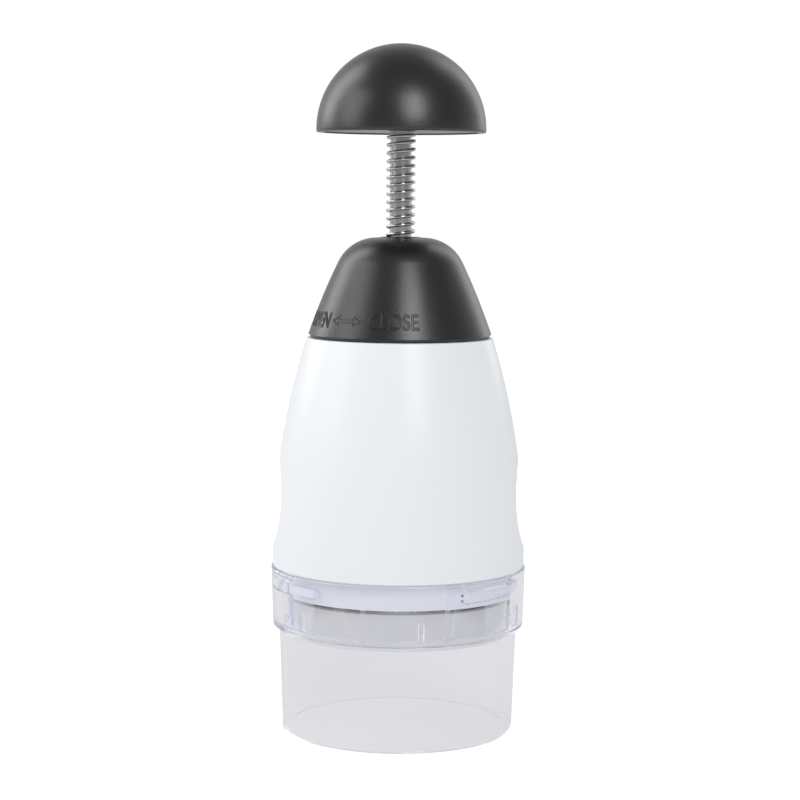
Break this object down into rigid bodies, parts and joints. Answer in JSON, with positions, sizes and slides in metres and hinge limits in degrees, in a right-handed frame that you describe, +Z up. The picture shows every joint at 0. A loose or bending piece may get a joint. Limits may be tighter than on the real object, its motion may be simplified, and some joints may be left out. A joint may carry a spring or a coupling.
{
  "type": "plunger food chopper",
  "caption": "Hand plunger food chopper: clear cup, white clam housing, black twist cap and a sprung dome knob driving a zigzag blade.",
  "frame": {"origin": "on the board, under the middle of the cup's rim", "axes": "+Z up along the push rod; -Y is the front, where the two shells' seam is at the sides"},
  "size_m": [0.0862, 0.0864, 0.231],
  "materials": {
    "clear_cup": "clear, polished",
    "milky_wiper": "milky, satin",
    "white_housing": "glossy moulded",
    "black_plastic": "satin, fine grain",
    "bushing_plastic": "plain",
    "steel": "satin",
    "spring_steel": "drawn wire",
    "blade_steel": "fine brushed"
  },
  "bodies": {
    "housing": {"front_shell": "white_housing", "rear_shell": "white_housing", "holder_ring": "white_housing", "front_hinge_pin": "steel", "rear_hinge_pin": "steel", "crown_plate": "white_housing"},
    "wiper": {"wiper_disc": "milky_wiper"},
    "plunger": {"zigzag_blade": "blade_steel", "blade_carrier": "black_plastic", "carrier_screw": "steel", "carrier_washer": "steel", "index_cam": "black_plastic", "index_pin": "steel", "push_rod": "steel", "knob_base": "black_plastic", "knob_dome": "black_plastic", "knob_screw": "steel", "knob_washer": "steel"},
    "cap": {"cap_cone": "black_plastic", "rod_bushing": "bushing_plastic", "spring_washer": "steel", "return_spring": "spring_steel"},
    "cup": {"cup": "clear_cup"}
  },
  "joints": [
    {"name": "blade_index", "type": "hinge", "parent": "housing", "child": "wiper", "pos_m": [0, 0, 0.0456], "axis": [0, 0, 1], "continuous": true},
    {"name": "plunger_slide", "type": "slide", "parent": "wiper", "child": "plunger", "axis": [0, 0, -1], "range_m": [0, 0.0337], "stiffness_N_per_m": 300, "springref_m": -0.03, "deforming": ["return_spring"]},
    {"name": "cap_twist", "type": "hinge", "parent": "housing", "child": "cap", "pos_m": [0, 0, 0.1342], "axis": [0, 0, 1], "range_deg": [0, 65]},
    {"name": "cup_turn", "type": "hinge", "parent": "housing", "child": "cup", "pos_m": [0, 0, 0.05], "axis": [0, 0, 1], "range_deg": [0, 27]}
  ]
}
